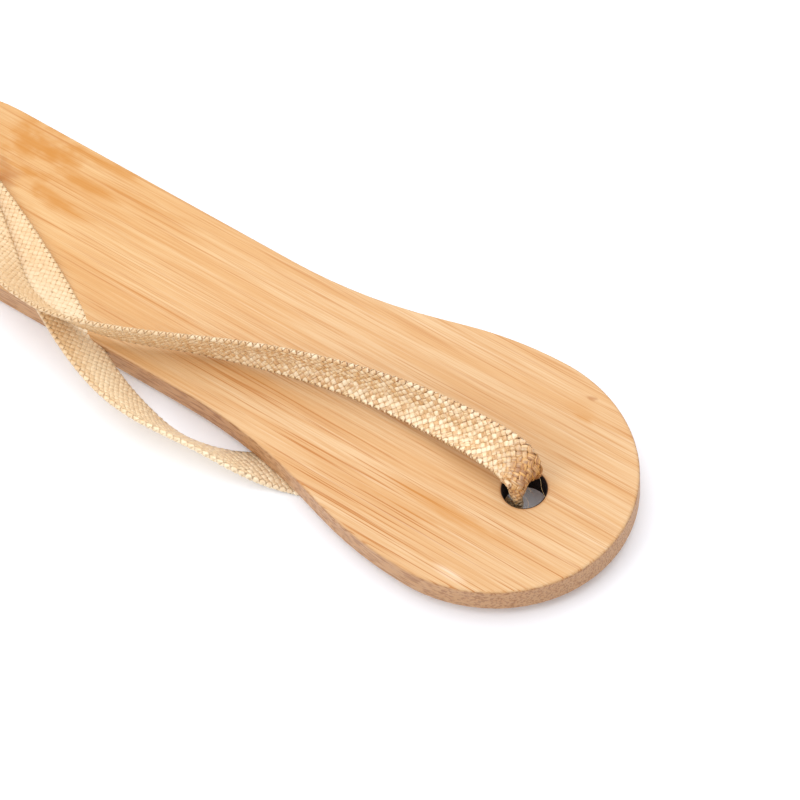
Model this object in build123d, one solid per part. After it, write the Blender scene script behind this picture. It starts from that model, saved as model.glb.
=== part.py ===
"""Flat bamboo folder (creasing tool) with a braided cord loop through its handle.

The blade is one slat of bamboo: a wide round handle end with a drilled hole, a narrower
body, and a working end that tapers to a rounded point and is ground thinner.
A flat braided cord is threaded through the hole and its two ends share one overhand knot.

Frame: millimetres, +Z up, the tabletop is z = 0, +X runs to the handle end, and the
origin is under the middle of the blade's box.
"""
from build123d import *
from math import atan, cos, degrees, pi, radians, sin, tan
import os

# ---- blade ----
length = 150.0              # tip to handle end
thickness = 4.0
handle_half_width = 16.25   # at the widest place of the handle end
nose_length = 17.7          # from the widest place to the handle end
flank_radius = 48.0         # outer bend behind the widest place
flank_angle = 15.5          # how steeply the handle runs down to the body, degrees
neck_radius = 70.0          # inner bend from the handle into the body
neck_half_width = 11.0
body_flare_angle = 0.48     # the body widens very slightly towards the tip, degrees
shoulder_x = -21.2          # where the body starts to taper
shoulder_radius = 34.0
shoulder_angle = 9.0        # degrees
tip_radius = 4.0
top_edge_radius = 0.35
bottom_edge_radius = 0.7

# ---- hole for the cord ----
hole_diameter = 5.0
hole_to_end = 12.2
hole_off_axis = -0.4
hole_edge_radius = 0.25

# ---- thinned working end ----
top_grind_x = -24.0         # where the upper grind starts
tip_thickness = 1.1
rest_grind_x = -27.2        # where the lower grind, which lies flat on the table, starts

# ---- cord: the braid is about 5 mm wide; a round tube of its pressed thickness stands for it ----
cord_diameter = 0.6
cord_lift = 1.0             # height of the blade's underside at the hole, over the cord

# ---- knot ----
knot_size = (11.0, 9.0, 6.0)
knot_rounding = 2.0
knot_front_x = -33.0        # flat end where both strands enter
knot_centre_y = 1.6
knot_gap = 0.15             # least gap above the blade's upper grind
tail_diameter = 1.0
tail_ends = [(-53.0, -1.8, 3.1), (-52.0, 5.2, 3.15)]

half_length = length / 2
hole_x = half_length - hole_to_end
tilt = degrees(atan(cord_lift / (hole_x - rest_grind_x)))
top_grind_angle = degrees(
    atan(
        (thickness - tip_thickness - (half_length + rest_grind_x) * tan(radians(tilt)))
        / (half_length + top_grind_x)
    )
)

# Route of the cord, knot to knot: along the top, down through the hole, back beneath the
# handle, out along the table and up over the body's near edge.
cord_route = [
    (-33.0, 1.6, 7.3),
    (-28.5, 1.4, 6.1),
    (-22.0, -0.4, 5.4),
    (-16.0, -3.6, 5.4),
    (-11.0, -6.9, 5.8),
    (-7.0, -9.3, 6.6),
    (-3.5, -11.1, 7.1),
    (0.0, -12.0, 7.5),
    (4.0, -12.2, 7.5),
    (9.0, -11.3, 7.6),
    (14.5, -9.3, 7.5),
    (21.5, -6.0, 7.4),
    (28.5, -3.1, 7.5),
    (36.0, -0.9, 7.5),
    (43.0, 0.5, 7.4),
    (49.0, 1.2, 7.1),
    (54.0, 1.2, 7.4),
    (58.0, 0.9, 8.0),
    (61.4, 0.4, 8.2),
    (63.2, -0.9, 7.4),
    (62.7, -1.7, 5.3),
    (62.8, -1.5, 3.2),
    (62.7, -1.5, 1.2),
    (60.2, -2.1, 0.36),
    (57.6, -2.9, 0.34),
    (53.6, -4.35, 0.34),
    (47.0, -7.1, 0.34),
    (40.5, -10.2, 0.34),
    (36.0, -11.8, 0.34),
    (32.0, -13.7, 1.1),
    (28.0, -14.9, 2.2),
    (23.5, -15.7, 2.8),
    (18.5, -15.6, 3.4),
    (13.5, -14.7, 4.0),
    (8.0, -12.7, 4.7),
    (3.0, -10.2, 4.85),
    (-3.0, -7.3, 4.65),
    (-10.0, -4.2, 4.55),
    (-17.0, -1.4, 4.5),
    (-23.5, 0.8, 4.5),
    (-28.8, 1.6, 4.9),
    (-33.0, 1.6, 6.0),
]


def blade_outline():
    """Closed outline of the blade, symmetric about its long axis."""
    widest_x = half_length - nose_length
    flank_drop = flank_radius * (1 - cos(radians(flank_angle)))
    neck_rise = neck_radius * (1 - cos(radians(flank_angle)))
    slope_run = (handle_half_width - flank_drop - neck_rise - neck_half_width) / sin(radians(flank_angle))
    with BuildSketch() as sketch:
        with BuildLine():
            nose = EllipticalCenterArc(
                (widest_x, 0), nose_length, handle_half_width, start_angle=0, arc_size=90
            )
            flank = JernArc(nose @ 1, (-1, 0), flank_radius, flank_angle)
            slope = Line(flank @ 1, flank @ 1 + (flank % 1) * slope_run)
            neck = JernArc(slope @ 1, slope % 1, neck_radius, -flank_angle - body_flare_angle)
            side_run = ((neck @ 1).X - shoulder_x) / cos(radians(body_flare_angle))
            side = Line(neck @ 1, neck @ 1 + (neck % 1) * side_run)
            shoulder = JernArc(side @ 1, side % 1, shoulder_radius, shoulder_angle)
            # the long edge is the arc that touches both the shoulder and the tip's circle
            heading = shoulder % 1
            inward = Vector(-heading.Y, heading.X)
            tip_centre = Vector(-half_length + tip_radius, 0)
            offset = shoulder @ 1 - tip_centre
            edge_radius = (tip_radius**2 - offset.dot(offset)) / (2 * (offset.dot(inward) + tip_radius))
            edge_centre = shoulder @ 1 + inward * edge_radius
            edge_angle = (shoulder @ 1 - edge_centre).get_angle(tip_centre - edge_centre)
            edge = JernArc(shoulder @ 1, heading, edge_radius, edge_angle)
            JernArc(edge @ 1, edge % 1, tip_radius, (edge % 1).get_angle(Vector(0, -1)))
            mirror(about=Plane.XZ)
        make_face()
    return sketch.sketch


def grind_wedge(start_x, start_z, angle, side):
    """Wedge of waste that a flat grind takes off the upper (1) or lower (-1) side of the tip."""
    reach = half_length + start_x + 1
    end_z = start_z - side * reach * tan(radians(angle))
    outer_z = start_z + side * thickness
    with BuildPart() as wedge:
        with BuildSketch(Plane.XZ):
            with BuildLine():
                Polyline(
                    (start_x, start_z),
                    (start_x - reach, end_z),
                    (start_x - reach, outer_z),
                    (start_x, outer_z),
                    close=True,
                )
            make_face()
        extrude(amount=handle_half_width, both=True)
    return wedge.part


def rim_edges(part, direction):
    """Outer edges of the broad faces that look up (1) or down (-1), without the grind lines."""
    broad = part.faces().filter_by(lambda face: face.normal_at().Z * direction > 0.9)
    grind_lines = part.edges().filter_by(Axis.Y)
    return [edge for face in broad for edge in face.edges() if edge not in grind_lines]


def is_hole_rim(edge):
    """True for the circles where the hole meets the blade's faces."""
    return edge.geom_type == GeomType.CIRCLE and abs(edge.radius - hole_diameter / 2) < 0.01


def make_blade():
    """The bamboo slat in its own flat frame: underside at z = 0, before it is tilted."""
    with BuildPart() as blade:
        with BuildSketch():
            add(blade_outline())
        extrude(amount=thickness)
        add(grind_wedge(top_grind_x, thickness, top_grind_angle, 1), mode=Mode.SUBTRACT)
        add(grind_wedge(rest_grind_x, 0, tilt, -1), mode=Mode.SUBTRACT)
        fillet(rim_edges(blade, 1), top_edge_radius)
        fillet(rim_edges(blade, -1), bottom_edge_radius)
        with Locations((hole_x, hole_off_axis, thickness / 2)):
            Cylinder(hole_diameter / 2, thickness, mode=Mode.SUBTRACT)
        fillet(blade.edges().filter_by(is_hole_rim), hole_edge_radius)
    return blade.part


def on_table(solid):
    """Tip the flat-frame solid so that the lower grind lies on the table."""
    return solid.rotate(Axis((rest_grind_x, 0, 0), (0, -1, 0)), tilt)


def corner_radii(points):
    """Largest tangent arc that the two runs at each corner allow."""
    radii = []
    for before, corner, after in zip(points, points[1:], points[2:]):
        run_in = Vector(*corner) - Vector(*before)
        run_out = Vector(*after) - Vector(*corner)
        half_turn = radians(run_in.get_angle(run_out) / 2)
        radii.append(0.45 * min(run_in.length, run_out.length) / tan(half_turn))
    return radii


def make_cord():
    """Tube along the route, as straight runs joined by tangent arcs."""
    radii = corner_radii(cord_route)
    print("cord arc radii:", [round(r, 1) for r in radii])
    path = FilletPolyline(*cord_route, radius=radii)
    section = Plane(origin=path @ 0, z_dir=path % 0) * Circle(cord_diameter / 2)
    tube = sweep(section, path=path)
    ideal = pi * cord_diameter**2 / 4 * path.length
    print(f"cord length {path.length:.1f}, volume {tube.volume:.1f}, section x length {ideal:.1f}")
    return tube


def upper_grind_height(x):
    """Height of the upper grind above the table."""
    drop = (top_grind_x - x) * tan(radians(top_grind_angle))
    return thickness - drop + (x - rest_grind_x) * tan(radians(tilt))


def make_knot():
    """Outer shape of the overhand knot, with the two tails that leave it."""
    knot_centre = Vector(
        knot_front_x - knot_size[0] / 2,
        knot_centre_y,
        upper_grind_height(knot_front_x) + knot_gap + knot_size[2] / 2,
    )
    knot = Box(*knot_size)
    knot = Pos(knot_centre) * fillet(knot.edges(), knot_rounding)
    for tail_end in tail_ends:
        run = Vector(*tail_end) - knot_centre
        tail = Cylinder(tail_diameter / 2, run.length, align=(Align.CENTER, Align.CENTER, Align.MIN))
        knot += Plane(origin=knot_centre, z_dir=run) * tail
    return knot


def main():
    os.makedirs("parts", exist_ok=True)
    blade = on_table(make_blade())
    cord = make_cord()
    export_step(blade, "parts/bamboo_blade.step")
    export_step(cord, "parts/cord_loop.step")
    export_step(make_knot(), "parts/cord_knot.step")
    print(f"tilt {tilt:.3f} deg, upper grind {top_grind_angle:.2f} deg")


main()
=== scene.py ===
"""Looks of the bamboo folder and its braided cord loop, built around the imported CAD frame.

Everything is in metres in the CAD frame: the tabletop is z = 0 and +X runs to the handle end.
"""

from itertools import product
from math import cos, pi, radians, sin

import bpy
import numpy as np
from mathutils import Matrix, Vector


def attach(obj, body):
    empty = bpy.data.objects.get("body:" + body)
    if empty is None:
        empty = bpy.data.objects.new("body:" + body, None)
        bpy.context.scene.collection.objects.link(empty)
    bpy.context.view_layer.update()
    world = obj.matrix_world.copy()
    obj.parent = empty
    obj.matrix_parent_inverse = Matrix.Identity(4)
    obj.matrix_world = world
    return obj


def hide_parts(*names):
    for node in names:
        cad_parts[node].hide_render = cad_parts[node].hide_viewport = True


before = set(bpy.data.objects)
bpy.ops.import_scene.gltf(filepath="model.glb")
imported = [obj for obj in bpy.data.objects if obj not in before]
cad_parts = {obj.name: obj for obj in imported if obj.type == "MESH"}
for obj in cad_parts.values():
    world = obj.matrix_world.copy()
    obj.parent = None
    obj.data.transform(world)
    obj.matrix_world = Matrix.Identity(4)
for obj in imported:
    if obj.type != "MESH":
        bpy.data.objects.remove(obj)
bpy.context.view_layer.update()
mm = 0.001

# ---- camera ----
camera_aim = Vector((44.12, 1.69, 4.79)) * mm
camera_distance = 295.7 * mm
camera_azimuth = -47.842        # degrees from +X
camera_elevation = 56.432
camera_roll = -7.543
camera_lens = 116.14            # for a 36 mm wide sensor

# ---- braid: a flat tube of 24 yarns, 12 each way ----
cord_width = 5.2 * mm
cord_thickness = 0.64 * mm
yarns_each_way = 12
braid_pitch = 10.4 * mm         # one yarn's full turn around the tube
yarn_thickness = 0.17 * mm
crossing_period = braid_pitch / yarns_each_way / mm     # along the braid, in millimetres
periods_per_yarn = 43           # texture offset from one yarn to the next
periods_per_hand = 577          # and from one hand's yarns to the other's
BETWEEN_HANDS = (800, 900)      # texture run past the first hand's yarns and before the second's
rings_per_crossing = 4

# ---- the hole, as the CAD has it ----
hole_centre = Vector((62.8, -0.4, 5.0)) * mm

# Cord route, knot to knot: a point, then the way the braid's width points there, as its
# turn from +X seen from above and its lean up from level, in degrees.
cord_route = [
    ((-0.0330, 0.0016, 0.0073), 90, 180),
    ((-0.0285, 0.0014, 0.0061), 84, 180),
    ((-0.0220, -0.0004, 0.0054), 70, 180),
    ((-0.0160, -0.0036, 0.0054), 60, 176),
    ((-0.0110, -0.0069, 0.0058), 58, 165),
    ((-0.0070, -0.0093, 0.0066), 58, 147),
    ((-0.0035, -0.0111, 0.0071), 64, 133),
    ((0.0000, -0.0120, 0.0075), 76, 124),
    ((0.0040, -0.0122, 0.0075), 88, 120),
    ((0.0090, -0.0113, 0.0076), 101, 112),
    ((0.0145, -0.0093, 0.0075), 110, 106),
    ((0.0215, -0.0060, 0.0074), 113, 104),
    ((0.0285, -0.0031, 0.0075), 111, 104),
    ((0.0360, -0.0009, 0.0075), 104, 94),
    ((0.0430, 0.0005, 0.0074), 98, 79),
    ((0.0490, 0.0012, 0.0071), 93, 60),
    ((0.0540, 0.0012, 0.0074), 89, 50),
    ((0.0580, 0.0009, 0.0080), 84, 42),
    ((0.0614, 0.0004, 0.0082), 80, 31),
    ((0.0632, -0.0009, 0.0074), 102, 10),
    ((0.0627, -0.0017, 0.0053), 118, 0),
    ((0.0628, -0.0015, 0.0032), 120, 0),
    ((0.0627, -0.0015, 0.0012), 116, 0),
    ((0.0602, -0.0021, 0.00036), 108, 0),
    ((0.0576, -0.0029, 0.00034), 110, 0),
    ((0.0536, -0.00435, 0.00034), 112, 0),
    ((0.0470, -0.0071, 0.00034), 113, 0),
    ((0.0405, -0.0102, 0.00034), 112, 0),
    ((0.0360, -0.0118, 0.00034), 110, -6),
    ((0.0320, -0.0137, 0.0011), 106, -38),
    ((0.0280, -0.0149, 0.0022), 100, -56),
    ((0.0235, -0.0157, 0.0028), 95, -59),
    ((0.0185, -0.0156, 0.0034), 88, -44),
    ((0.0135, -0.0147, 0.0040), 78, -33),
    ((0.0080, -0.0127, 0.0047), 70, -24),
    ((0.0030, -0.0102, 0.00485), 66, -12),
    ((-0.0030, -0.0073, 0.00465), 64, 0),
    ((-0.0100, -0.0042, 0.00455), 66, 0),
    ((-0.0170, -0.0014, 0.0045), 72, 0),
    ((-0.0235, 0.0008, 0.0045), 80, 0),
    ((-0.0288, 0.0016, 0.0049), 90, 0),
    ((-0.0330, 0.0016, 0.0060), 90, 0),
]
steps_per_run = 24

# Overhand knot that both strands make side by side, from its own middle, and the two tails.
knot_centre = (-0.0385, 0.0016, 0.00665)
knot_line = [
    (0.0055, 0.0000, 0.0000),
    (0.0042, -0.0016, 0.0005),
    (0.0026, -0.0029, 0.0012),
    (0.0014, -0.0016, 0.0012),
    (0.0012, 0.0004, 0.0003),
    (-0.0005, 0.0021, -0.0012),
    (-0.0026, 0.0024, -0.0009),
    (-0.0035, 0.0011, 0.0007),
    (-0.0024, -0.0006, 0.0013),
    (0.0000, -0.0013, 0.0000),
    (0.0024, -0.0006, -0.0013),
    (0.0035, 0.0011, -0.0007),
    (0.0026, 0.0024, 0.0009),
    (0.0005, 0.0021, 0.0012),
    (-0.0012, 0.0004, -0.0003),
    (-0.0014, -0.0016, -0.0012),
    (-0.0028, -0.0028, -0.0010),
    (-0.0046, -0.0022, -0.0010),
]
upper_tail = [
    (-0.0455, 0.0000, 0.0049),
    (-0.0480, -0.0006, 0.0035),
    (-0.0510, -0.0012, 0.0030),
    (-0.0545, -0.0017, 0.0028),
]
lower_tail = [
    (-0.0455, 0.0008, 0.0040),
    (-0.0475, 0.0026, 0.0033),
    (-0.0500, 0.0040, 0.0030),
    (-0.0530, 0.0048, 0.0028),
]
knotted_width = 2.8 * mm
knotted_thickness = 1.24 * mm
strand_level = 0.52             # of the two strands in the knot, in their thicknesses

# ---- how the braid's section changes on the way to the hole ----
hole_fold = 150                 # degrees, a V where the hole squeezes it
cup_fold = -44                  # degrees, the hollow of the part that stands on edge
gathered_by = 3.0 * mm          # how much narrower it is in the hole

# ---- loose filaments beside the hole ----
fibre_count = 34
fibre_radius = 0.011 * mm


def direction(turn, lean):
    """Unit vector that points at that turn from +X and that lean up from level."""
    turn = radians(turn)
    lean = radians(lean)
    return Vector((cos(lean) * cos(turn), cos(lean) * sin(turn), sin(lean)))


def smooth(low, high, value):
    """Rises smoothly from 0 at low to 1 at high."""
    t = np.clip((value - low) / (high - low), 0, 1)
    return t * t * (3 - 2 * t)


# ------------------------------------------------------------------ camera, floor and light

def make_camera():
    back = direction(camera_azimuth, camera_elevation)
    right = Vector((0, 0, 1)).cross(back).normalized()
    up = back.cross(right)
    roll = radians(camera_roll)
    across = cos(roll) * right + sin(roll) * up
    along = -sin(roll) * right + cos(roll) * up
    data = bpy.data.cameras.new("camera")
    data.sensor_width = 36
    data.lens = camera_lens
    data.clip_start = 0.01
    camera = bpy.data.objects.new("camera", data)
    turn = Matrix((across, along, back)).transposed().to_4x4()
    camera.matrix_world = Matrix.Translation(camera_aim + camera_distance * back) @ turn
    bpy.context.scene.collection.objects.link(camera)
    bpy.context.scene.camera = camera


def add_area_light(name, azimuth, elevation, distance, size, power, colour=(1, 1, 1)):
    """A square soft light that looks at the object from that side."""
    data = bpy.data.lights.new(name, "AREA")
    data.size = size
    data.energy = power
    data.color = colour
    light = bpy.data.objects.new(name, data)
    away = direction(azimuth, elevation)
    light.location = camera_aim + away * distance
    light.rotation_euler = away.to_track_quat("Z", "Y").to_euler()
    bpy.context.scene.collection.objects.link(light)


def make_studio():
    world = bpy.data.worlds.new("studio")
    world.use_nodes = True
    background = world.node_tree.nodes["Background"]
    background.inputs["Color"].default_value = (0.97, 0.98, 1.0, 1)
    background.inputs["Strength"].default_value = 0.75
    bpy.context.scene.world = world
    bpy.context.scene.view_settings.view_transform = "Standard"
    add_area_light("key_light", 130, 71, 0.9, 1.5, 8.9, (1.0, 0.985, 0.96))
    add_area_light("side_light", 240, 34, 0.9, 0.5, 2.2, (1.0, 0.99, 0.97))
    bpy.ops.mesh.primitive_plane_add(size=3, location=(0, 0, 0))
    floor = bpy.context.object
    floor.name = "floor"
    material = bpy.data.materials.new("white_floor")
    material.use_nodes = True
    shader = material.node_tree.nodes["Principled BSDF"]
    shader.inputs["Base Color"].default_value = (0.91, 0.93, 0.985, 1)
    shader.inputs["Roughness"].default_value = 0.6
    shader.inputs["Emission Color"].default_value = (0.95, 0.95, 1.0, 1)
    shader.inputs["Emission Strength"].default_value = 0.05
    floor.data.materials.append(material)


# ------------------------------------------------------------------ shader building

class Shader:
    """A node material that is built with short calls."""

    def __init__(self, name):
        self.material = bpy.data.materials.new(name)
        self.material.use_nodes = True
        self.tree = self.material.node_tree
        self.surface = self.tree.nodes["Principled BSDF"]

    def feed(self, socket, value):
        if isinstance(value, bpy.types.NodeSocket):
            self.tree.links.new(value, socket)
        else:
            socket.default_value = value

    def node(self, kind, *values, **settings):
        made = self.tree.nodes.new(kind)
        for key, value in settings.items():
            setattr(made, key, value)
        for socket, value in zip(made.inputs, values):
            self.feed(socket, value)
        return made

    def math(self, operation, a, b=0.0, c=0.0):
        return self.node("ShaderNodeMath", a, b, c, operation=operation).outputs[0]

    def times(self, a, b):
        return self.math("MULTIPLY", a, b)

    def ramp(self, value, low, high, start=0.0, end=1.0):
        """Goes smoothly from start at low to end at high."""
        made = self.node(
            "ShaderNodeMapRange", value, low, high, start, end, interpolation_type="SMOOTHSTEP"
        )
        return made.outputs[0]

    def scaled(self, vector, scale):
        made = self.node("ShaderNodeMapping")
        self.feed(made.inputs["Vector"], vector)
        made.inputs["Scale"].default_value = scale
        return made.outputs[0]

    def noise(self, vector, scale, detail=2.0, roughness=0.5):
        made = self.node("ShaderNodeTexNoise")
        self.feed(made.inputs["Vector"], self.scaled(vector, scale))
        made.inputs["Scale"].default_value = 1.0
        made.inputs["Detail"].default_value = detail
        made.inputs["Roughness"].default_value = roughness
        return made.outputs[0]

    def blend(self, amount, first, second, mode="MIX"):
        made = self.node("ShaderNodeMix", data_type="RGBA", blend_type=mode)
        self.feed(made.inputs[0], amount)
        self.feed(made.inputs[6], first)
        self.feed(made.inputs[7], second)
        return made.outputs[2]

    def bump(self, height, strength, distance):
        made = self.node("ShaderNodeBump")
        made.inputs["Strength"].default_value = strength
        made.inputs["Distance"].default_value = distance
        self.feed(made.inputs["Height"], height)
        self.feed(self.surface.inputs["Normal"], made.outputs[0])


    def place_in_mm(self):
        """The point's own place in the CAD frame, in millimetres, and its x, y and z."""
        place = self.scaled(self.node("ShaderNodeTexCoord").outputs["Object"], (1000, 1000, 1000))
        return (place, *self.node("ShaderNodeSeparateXYZ", place).outputs)


def colour(red, green, blue):
    """Colour from its display values, 0 to 255."""
    return tuple((c / 255) ** 2.2 for c in (red, green, blue)) + (1.0,)


WOOD_LIGHT = colour(216, 180, 137)
WOOD_MIDDLE = colour(209, 164, 114)
WOOD_PALE = colour(220, 189, 152)
WOOD_STREAK = colour(199, 147, 94)
WOOD_BUNDLE = colour(178, 112, 48)
WOOD_DEEP = colour(192, 126, 46)
WOOD_BROWN = colour(160, 92, 30)
WOOD_SCUFFED = colour(255, 240, 220)
# hole wall colour: drilling scorch, darkened further as painted shade inside the hole
WOOD_SCORCHED_AND_SHADED = colour(34, 15, 8)
AGED = (1.0, 0.95, 0.80, 1)        # tint towards the node
SIDE_LIGHT = colour(185, 140, 100)
SIDE_DOTS = colour(138, 86, 48)
HOLE_AXIS = (62.8, -0.4, 0.0)
# the middle of both the braid's wear and the painted shade where it dives into the hole
WEAR_AND_SHADE_PLACE = (63.6, 0.8, 6.6)      # where the braid bends down over the edge of the hole
# the two hands' tones are one yarn colour painted as a lit and a shaded copy, a painted sheen
YARN_LIT_HAND = colour(238, 208, 160)
YARN_SHADED_HAND = colour(220, 178, 126)
YARN_SHADE = colour(178, 124, 66)
# a painted highlight tone for the yarns
YARN_PAINTED_HIGHLIGHT = colour(255, 239, 206)
# dark tone by the hole: wear, with painted shade where the braid dives into the hole
YARN_WORN_AND_SHADED = colour(140, 76, 14)
YARN_RUBBED = colour(214, 156, 78)
# painted shade for the gaps where yarns dip under one another
YARN_DIP_SHADE = colour(150, 90, 32)
YARN_PLAIN = colour(224, 187, 139)

# Marks on the blade: place, size and strength. The first are the node's own blotches, then two
# by the nose, then dark streaks along the grain.
DEEP_MARKS = [
    ((-7.0, 6.5), (5.5, 1.1), 0.8),
    ((-7.6, 2.4), (5.0, 1.2), 0.8),
    ((-6.0, 10.3), (6.0, 0.9), 0.7),
    ((1.0, 8.2), (9.0, 0.8), 0.4),
    ((-13.5, 8.0), (2.2, 1.2), 0.8),
    ((-17.5, 6.7), (2.2, 0.9), 0.7),
    ((-15.0, 4.2), (2.0, 0.8), 0.7),
    ((62.5, 12.0), (2.6, 1.5), 0.2),
    ((63.3, 11.0), (1.2, 0.5), 0.4),
    ((57.0, -7.4), (11.0, 1.0), 0.6),
    ((52.0, -9.8), (9.0, 0.5), 0.35),
    ((26.0, -4.6), (12.0, 0.6), 0.3),
]
BROWN_MARKS = [
    ((-16.5, 2.0), (2.2, 1.8), 0.55),
    ((-18.5, 3.6), (1.6, 1.2), 0.4),
    ((62.0, 13.6), (0.6, 0.35), 0.5),
]
SCUFF_PLACE = (62.0, -13.9)
SCUFF_SIZE = (2.4, 0.6)


def spot(s, x, y, at, size):
    """1 at a soft oval place on the blade, falling to 0 at its edge. Millimetres."""
    along = s.math("DIVIDE", s.math("SUBTRACT", x, at[0]), size[0])
    across = s.math("DIVIDE", s.math("SUBTRACT", y, at[1]), size[1])
    squares = s.math("ADD", s.times(along, along), s.times(across, across))
    return s.ramp(s.math("SQRT", squares), 1.25, 0.2)


def blotches(s, tone, marks, shade, x, y):
    """The tone with each mark's soft oval shaded, up to the mark's own strength."""
    for at, size, strength in marks:
        tone = s.blend(s.times(spot(s, x, y, at, size), strength), tone, shade)
    return tone


def make_bamboo():
    s = Shader("bamboo")
    place, x, y, _ = s.place_in_mm()
    wander = s.times(s.math("SUBTRACT", s.noise(place, (0.25, 0.7, 0.5)), 0.5), 3.0)
    wavy_x = s.math("ADD", x, s.times(wander, 1.6))
    wavy_y = s.math("ADD", y, s.times(wander, 0.4))

    # straight grain: broad bands, fibres, fine threads and thin dark bundles
    bands = s.noise(place, (0.030, 0.45, 0.4), 3, 0.55)
    fibres = s.noise(place, (0.05, 2.6, 2.4), 4, 0.65)
    threads = s.noise(place, (0.08, 8.5, 6.0))
    bundles = s.noise(place, (0.035, 4.6, 3.6))
    pale = s.noise(place, (0.045, 3.2, 3.0))
    tone = s.blend(s.ramp(bands, 0.36, 0.66), WOOD_LIGHT, WOOD_MIDDLE)
    tone = s.blend(s.ramp(fibres, 0.42, 0.72, 0, 0.7), tone, WOOD_STREAK)
    tone = s.blend(s.ramp(threads, 0.46, 0.66, 0, 0.55), tone, WOOD_STREAK)
    near_side = s.times(s.ramp(y, -2.5, -7.0), s.ramp(x, 5.0, 45.0))
    strength = s.math("MULTIPLY_ADD", near_side, 0.4, 0.5)
    tone = s.blend(s.times(s.ramp(bundles, 0.54, 0.68), strength), tone, WOOD_BUNDLE)
    tone = s.blend(s.ramp(pale, 0.58, 0.75, 0, 0.5), tone, WOOD_PALE)

    tone = s.blend(s.ramp(x, 40.0, -12.0), tone, AGED, "MULTIPLY")

    # the node of the culm: blotches that end sharply, with darker tails beside them
    in_node = s.times(s.ramp(wavy_x, -23.5, -18.5), s.ramp(wavy_x, -7.0, -12.5))
    patchy = s.ramp(s.noise(place, (0.28, 0.42, 0.4)), 0.34, 0.68, 0, 0.85)
    tone = s.blend(s.times(in_node, patchy), tone, WOOD_DEEP)
    tone = blotches(s, tone, DEEP_MARKS, WOOD_DEEP, wavy_x, wavy_y)
    tone = blotches(s, tone, BROWN_MARKS, WOOD_BROWN, wavy_x, wavy_y)
    scuff = s.times(spot(s, x, y, SCUFF_PLACE, SCUFF_SIZE), s.ramp(fibres, 0.3, 0.6))
    tone = s.blend(s.times(scuff, 0.4), tone, WOOD_SCUFFED)

    # sawn sides: end grain dots towards the nose, darker and browner than the faces
    normal = s.node("ShaderNodeNewGeometry").outputs["Normal"]
    upward = s.node("ShaderNodeSeparateXYZ", normal).outputs[2]
    side = s.ramp(s.math("ABSOLUTE", upward), 0.95, 0.35)
    dots = s.ramp(s.noise(place, (0.4, 4.6, 3.2), roughness=0.6), 0.45, 0.62)
    sawn = s.blend(s.times(dots, 0.8), SIDE_LIGHT, SIDE_DOTS)
    tone = s.blend(s.times(side, 0.85), tone, sawn)

    # the drilled wall, scorched dark and darkened further as painted shade inside the hole
    from_axis = s.node("ShaderNodeVectorMath", place, HOLE_AXIS, operation="SUBTRACT").outputs[0]
    flat = s.scaled(from_axis, (1, 1, 0))
    reach = s.node("ShaderNodeVectorMath", flat, operation="LENGTH").outputs["Value"]
    tone = s.blend(s.ramp(reach, 3.0, 2.66, 0, 0.35), tone, WOOD_BROWN)
    scorched_and_shaded = s.ramp(reach, 2.72, 2.56)
    tone = s.blend(scorched_and_shaded, tone, WOOD_SCORCHED_AND_SHADED)
    s.feed(s.surface.inputs["Base Color"], tone)
    roughness = s.math("MAXIMUM", s.ramp(fibres, 0.3, 0.8, 0.42, 0.58), scorched_and_shaded)
    s.feed(s.surface.inputs["Roughness"], roughness)
    s.surface.inputs["Specular IOR Level"].default_value = 0.4
    grain = s.math("ADD", s.times(fibres, 0.6), s.times(bundles, -0.5))
    pits = s.times(s.times(dots, side), 0.6)
    s.bump(s.math("SUBTRACT", grain, pits), 0.3, 0.12 * mm)
    return s.material


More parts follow.
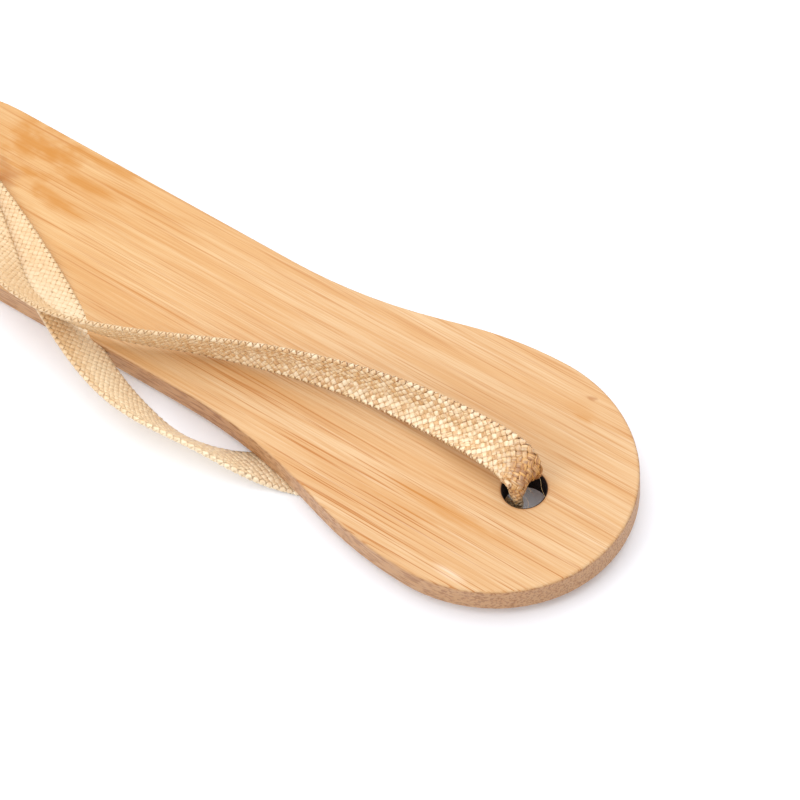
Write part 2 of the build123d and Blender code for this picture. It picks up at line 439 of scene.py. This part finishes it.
def make_braid_material():
    s = Shader("braided_yarn")
    along = s.node("ShaderNodeTexCoord").outputs["UV"]
    filaments = s.noise(along, (1.4, 11, 1), roughness=0.6)
    highlight_patches = s.noise(along, (1.3, 2.0, 1), 1)
    run = s.node("ShaderNodeSeparateXYZ", along).outputs[0]

    # yarns of the two hands: one hand painted lighter and the other darker, a painted sheen on one
    # yarn colour, and painted shade where they dip under one another
    hand = s.ramp(run, *BETWEEN_HANDS, -1, 1)
    lift = s.math("COSINE", s.times(run, 2 * pi / crossing_period))
    dip_shade = s.ramp(s.times(lift, hand), 0.65, -0.4, 0, 0.9)
    tone = s.blend(s.ramp(run, *BETWEEN_HANDS), YARN_SHADED_HAND, YARN_LIT_HAND)
    tone = s.blend(s.ramp(filaments, 0.38, 0.68, 0, 0.8), tone, YARN_SHADE)
    # painted highlights on random picks
    tone = s.blend(s.ramp(highlight_patches, 0.40, 0.66, 0, 0.65), tone, YARN_PAINTED_HIGHLIGHT)
    # painted shade where the yarns dip under one another
    tone = s.blend(dip_shade, tone, YARN_DIP_SHADE)

    # smoother towards the left crossing, and a painted highlight where it hangs beside the body
    place, x, y, z = s.place_in_mm()
    smoothed = s.times(s.ramp(x, 40.0, 0.0), s.ramp(x, -27.0, -14.0))
    tone = s.blend(s.times(smoothed, 0.75), tone, YARN_PLAIN)
    hanging_highlight = s.times(s.ramp(z, 6.0, 4.6), s.ramp(y, -6.0, -10.5))
    tone = s.blend(s.times(hanging_highlight, 0.5), tone, YARN_PAINTED_HIGHLIGHT)

    # duller at the edge of the hole, and darker there: partly wear, partly painted shade where the
    # braid dives into the hole
    distance = s.node("ShaderNodeVectorMath", place, WEAR_AND_SHADE_PLACE, operation="DISTANCE")
    far = distance.outputs["Value"]
    streaks = s.noise(along, (0.9, 7.0, 1), roughness=0.6)
    worn_and_shaded = s.blend(s.ramp(streaks, 0.42, 0.6), YARN_WORN_AND_SHADED, YARN_RUBBED)
    tone = s.blend(s.ramp(far, 5.2, 1.8, 0, 0.85), tone, worn_and_shaded)
    s.feed(s.surface.inputs["Base Color"], tone)
    s.feed(s.surface.inputs["Roughness"], s.ramp(far, 4.6, 1.6, 0.3, 0.65))
    s.surface.inputs["Specular IOR Level"].default_value = 0.9
    s.surface.inputs["Anisotropic"].default_value = 0.6
    s.surface.inputs["Anisotropic Rotation"].default_value = 0.25
    tangent = s.node("ShaderNodeTangent", direction_type="UV_MAP", uv_map="along_yarn")
    s.feed(s.surface.inputs["Tangent"], tangent.outputs[0])
    s.bump(filaments, 0.35, 0.04 * mm)
    return s.material


def make_fibre_material():
    s = Shader("stray_fibre")
    s.surface.inputs["Base Color"].default_value = colour(226, 190, 138)
    s.surface.inputs["Roughness"].default_value = 0.4
    return s.material


# ------------------------------------------------------------------ cord

def spline_points(points):
    """Points read from the open NURBS spline that has the given points as its control points."""
    data = bpy.data.curves.new("route", "CURVE")
    data.dimensions = "3D"
    data.resolution_u = steps_per_run
    spline = data.splines.new("NURBS")
    spline.points.add(len(points) - 1)
    for place, point in zip(spline.points, points):
        place.co = (*point, 1)
    spline.order_u = 3
    spline.use_endpoint_u = True
    curve = bpy.data.objects.new("route", data)
    bpy.context.scene.collection.objects.link(curve)
    bpy.context.view_layer.update()
    mesh = bpy.data.meshes.new_from_object(curve)
    found = np.array([v.co[:] for v in mesh.vertices])
    bpy.data.meshes.remove(mesh)
    bpy.data.objects.remove(curve)
    return found


class Ribbon:
    """A route's smooth line with the braid's width direction, cut into even steps."""

    def __init__(self, route, level_width=False):
        points = [Vector(p) for p, turn, lean in route]
        sides = [Vector(p) + direction(turn, lean) * cord_width / 2 for p, turn, lean in route]
        line = spline_points(points)
        side = spline_points(sides) - line
        self.line = line
        run = np.concatenate([[0], np.cumsum(np.linalg.norm(np.diff(line, axis=0), axis=1))])
        self.length = run[-1]
        crossings = round(self.length / (braid_pitch / (2 * yarns_each_way)))
        self.s = np.linspace(0, self.length, crossings * rings_per_crossing + 1)
        self.centre = resample(self.s, run, line)
        self.along = unit(np.gradient(self.centre, axis=0))
        across = resample(self.s, run, side)
        if level_width:
            across = np.cross((0, 0, 1), self.along)
        self.normal = unit(np.cross(self.along, across))
        self.across = np.cross(self.normal, self.along)

    def row_in_hole(self):
        """The step where the cord passes the middle of the hole."""
        return int(np.argmin(np.linalg.norm(self.centre - np.array(hole_centre), axis=1)))


def resample(s, run, values):
    return np.stack([np.interp(s, run, values[:, k]) for k in range(3)], axis=1)


def unit(vectors):
    return vectors / np.linalg.norm(vectors, axis=-1, keepdims=True)


def bent_section(fold, spots=61, fold_place=-0.2, fold_sharpness=0.25):
    """Middle line of the braid's section on each ring, where the strip beside the first edge
    is folded down by the ring's angle. Returns places in half widths and the line's angles."""
    u = np.linspace(-1, 1, spots)
    share = 1 - smooth(fold_place - fold_sharpness, fold_place + fold_sharpness, u)
    angle = fold[:, None] * share[None, :]
    step = np.stack([np.cos(angle), np.sin(angle)], axis=2)
    middle = (step[:, 1:] + step[:, :-1]) / 2 * (u[1] - u[0])
    line = np.concatenate([np.zeros((len(fold), 1, 2)), np.cumsum(middle, axis=1)], axis=1)
    line -= line.mean(axis=1, keepdims=True)
    return u, line, angle


def around_tube(q, width, thickness):
    """Place on a flattened tube at the share q of its way round: across, out, and the outward
    normal there. The tube has flat faces and half-round edges."""
    radius = thickness / 2
    flat = width - thickness
    way = 2 * flat + pi * thickness
    d = np.mod(q, 1) * way
    top = d < flat
    first_end = (d >= flat) & (d < flat + pi * radius)
    bottom = (d >= flat + pi * radius) & (d < 2 * flat + pi * radius)
    turn_first = (d - flat) / radius
    turn_last = (d - 2 * flat - pi * radius) / radius
    a = np.select(
        [top, first_end, bottom],
        [d - flat / 2, flat / 2 + radius * np.sin(turn_first), flat / 2 - (d - flat - pi * radius)],
        -flat / 2 - radius * np.sin(turn_last),
    )
    b = np.select(
        [top, first_end, bottom],
        [radius + 0 * d, radius * np.cos(turn_first), -radius + 0 * d],
        -radius * np.cos(turn_last),
    )
    na = np.select([top, first_end, bottom], [0 * d, np.sin(turn_first), 0 * d], -np.sin(turn_last))
    nb = np.select(
        [top, first_end, bottom], [1 + 0 * d, np.cos(turn_first), -1 + 0 * d], -np.cos(turn_last)
    )
    return a, b, na, nb, way


def yarn_rings(ribbon, width, thickness, fold, number, hand):
    """Rings of six corners along one yarn, numbered from 0, that winds to that hand, 1 or -1."""
    layer_width = width - yarn_thickness * 2
    layer_thickness = thickness - yarn_thickness * 2
    q = number / yarns_each_way + hand * ribbon.s / braid_pitch
    a, b, na, nb, way = around_tube(q, layer_width, layer_thickness)
    u, line, angle = bent_section(fold)
    at = (a / (layer_width / 2) * 0.999 + 1) / 2 * (len(u) - 1)
    at = np.clip(at, 0, len(u) - 1.001)
    low = at.astype(int)
    part = at - low
    rows = np.arange(len(at))
    bend = angle[rows, low] * (1 - part) + angle[rows, low + 1] * part
    part = part[:, None]
    middle = line[rows, low] * (1 - part) + line[rows, low + 1] * part
    middle = middle * (layer_width / 2)[:, None]
    over = a - np.clip(a, -layer_width / 2, layer_width / 2)
    in_a = middle[:, 0] + over * np.cos(bend) - b * np.sin(bend)
    in_b = middle[:, 1] + over * np.sin(bend) + b * np.cos(bend)
    out_a = na * np.cos(bend) - nb * np.sin(bend)
    out_b = na * np.sin(bend) + nb * np.cos(bend)
    surface = ribbon.centre + in_a[:, None] * ribbon.across + in_b[:, None] * ribbon.normal
    out = unit(out_a[:, None] * ribbon.across + out_b[:, None] * ribbon.normal)

    # every crossing stands out, lies and spreads a little differently
    chance = np.random.default_rng(100 * number + hand + 1)
    crossings = np.arange(len(ribbon.s) // rings_per_crossing + 2) * rings_per_crossing
    uneven = [np.interp(rows, crossings, chance.normal(0, 1, len(crossings))) for _ in range(3)]
    wave = hand * np.cos(2 * pi * yarns_each_way * ribbon.s / braid_pitch)
    crown = 0.3 + 0.12 * smooth(-5 * mm, 20 * mm, ribbon.centre[:, 0])
    at_edge = smooth(0.86, 1.0, np.abs(a) / (layer_width / 2))
    crown = crown * (1 - 0.5 * at_edge)
    path = surface + out * (wave * yarn_thickness * crown * (1 + 0.3 * uneven[0]))[:, None]
    along = unit(np.gradient(path, axis=0))
    side = unit(np.cross(along, out))
    out = np.cross(side, along)
    spacing = way / yarns_each_way * braid_pitch / np.hypot(braid_pitch, way)
    path = path + side * (spacing * 0.07 * uneven[1] * (1 - at_edge))[:, None]
    half_width = spacing * (0.55 + 0.05 * wave + 0.03 * uneven[2] + 0.06 * at_edge)

    # flattened yarn: corners as shares of its half width and half thickness
    corners = [(1, 0), (0.6, 0.9), (-0.6, 0.9), (-1, 0), (-0.6, -0.9), (0.6, -0.9)]
    rings = [
        path + side * (half_width * p)[:, None] + out * (yarn_thickness / 2 * r)
        for p, r in corners
    ]
    rings = np.stack(rings, axis=1)
    rings[:, :, 2] = np.maximum(rings[:, :, 2], 0.01 * mm)
    return rings


def braid_mesh(name, parts):
    """Mesh of every yarn of each braid: a ribbon with its width, thickness and fold per ring."""
    vertices = []
    faces = []
    places = []
    start = 0
    for part, hand, number in product(parts, (1, -1), range(yarns_each_way)):
        ribbon, width, thickness, fold = part
        rings = yarn_rings(ribbon, width, thickness, fold, number, hand)
        count, corners = rings.shape[:2]
        vertices.append(rings.reshape(-1, 3))
        ring, corner = np.meshgrid(np.arange(count - 1), np.arange(corners), indexing="ij")
        following = (corner + 1) % corners
        quads = np.stack(
            [
                ring * corners + corner,
                (ring + 1) * corners + corner,
                (ring + 1) * corners + following,
                ring * corners + following,
            ],
            axis=-1,
        ).reshape(-1, 4)
        faces.extend((quads + start).tolist())
        start += count * corners
        shift = periods_per_yarn * number + periods_per_hand * (hand + 1)
        along = ribbon.s / mm + crossing_period * shift
        low = along[ring]
        high = along[ring + 1]
        first = corner / corners
        last = (corner + 1) / corners
        uv = np.stack([low, first, high, first, high, last, low, last], axis=-1)
        places.append(uv.reshape(-1, 2))
        for ring_start, order in ((start - count * corners, 1), (start - corners, -1)):
            faces.append([ring_start + k for k in range(corners)][::order])
            places.append(np.zeros((corners, 2)))
    mesh = bpy.data.meshes.new(name)
    mesh.from_pydata(np.concatenate(vertices).tolist(), [], faces)
    layer = mesh.uv_layers.new(name="along_yarn")
    layer.data.foreach_set("uv", np.concatenate(places).ravel())
    mesh.shade_smooth()
    piece = bpy.data.objects.new(name, mesh)
    bpy.context.scene.collection.objects.link(piece)
    return piece


def make_cord(material):
    ribbon = Ribbon(cord_route)
    print("cord length", round(ribbon.length / mm, 1))
    past_hole = (ribbon.s - ribbon.s[ribbon.row_in_hole()]) / mm
    cupped = smooth(-50, -34, past_hole) * (1 - smooth(-11, -5, past_hole))
    folded = smooth(-5, 1.5, past_hole) * (1 - smooth(3, 7, past_hole))
    fold = radians(hole_fold) * folded + radians(cup_fold) * cupped
    gather = smooth(-4, 1.5, past_hole) * (1 - smooth(3, 8, past_hole))
    in_knot = smooth(-27 * mm, -33 * mm, ribbon.centre[:, 0])
    width = cord_width - gathered_by * gather + (knotted_width - cord_width) * in_knot
    thickness = cord_thickness + (knotted_thickness - cord_thickness) * in_knot
    cord = braid_mesh("braided_cord", [(ribbon, width, thickness, fold)])
    cord.data.materials.append(material)
    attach(cord, "root")
    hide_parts("cord_loop")
    return cord, ribbon


def make_knot(material):
    """Both strands through one overhand knot, and their cut tails lying on the blade."""
    parts = []
    for level, tail in ((strand_level, upper_tail), (-strand_level, lower_tail)):
        shift = Vector(knot_centre) + Vector((0, 0, level * knotted_thickness))
        route = [(Vector(p) + shift, 90, 180) for p in knot_line]
        route += [(Vector(p), 90, 180) for p in tail]
        ribbon = Ribbon(route, level_width=True)
        free = smooth(-43.5 * mm, -48 * mm, ribbon.centre[:, 0])
        width = knotted_width + (cord_width - knotted_width) * free
        thickness = knotted_thickness + (cord_thickness - knotted_thickness) * free
        parts.append((ribbon, width, thickness, 0 * free))
    knot = braid_mesh("overhand_knot", parts)
    knot.data.materials.append(material)
    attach(knot, "root")
    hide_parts("cord_knot")
    return knot


def make_stray_fibres(ribbon, material):
    """Loose filaments that stand off the braid where it enters the hole."""
    chance = np.random.default_rng(7)
    first = ribbon.row_in_hole()
    data = bpy.data.curves.new("stray_fibres", "CURVE")
    data.dimensions = "3D"
    data.bevel_depth = fibre_radius
    data.resolution_u = 6
    for _ in range(fibre_count):
        row = first - int(chance.uniform(2, 90))
        across = chance.uniform(-1.9, 2.3) * mm
        root = ribbon.centre[row] + across * ribbon.across[row] + 0.3 * mm * ribbon.normal[row]
        drift = chance.normal(0, 0.35, 3) + 0.55 * ribbon.normal[row] + 0.5 * ribbon.along[row]
        reach = chance.uniform(0.5, 1.7) * mm
        spline = data.splines.new("NURBS")
        spline.points.add(4)
        for step, point in enumerate(spline.points):
            share = step / 4
            bend = chance.normal(0, 0.16, 3) * share + np.array([0, 0, -0.9]) * share * share
            point.co = (*(root + (drift * share + bend) * reach), 1)
        spline.order_u = 3
        spline.use_endpoint_u = True
    fibres = bpy.data.objects.new("stray_fibres", data)
    bpy.context.scene.collection.objects.link(fibres)
    fibres.data.materials.append(material)
    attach(fibres, "root")
    return fibres


make_camera()
make_studio()
braid_material = make_braid_material()
cord, ribbon = make_cord(braid_material)
knot = make_knot(braid_material)
fibres = make_stray_fibres(ribbon, make_fibre_material())
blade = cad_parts["bamboo_blade"]
blade.data.materials.clear()
blade.data.materials.append(make_bamboo())
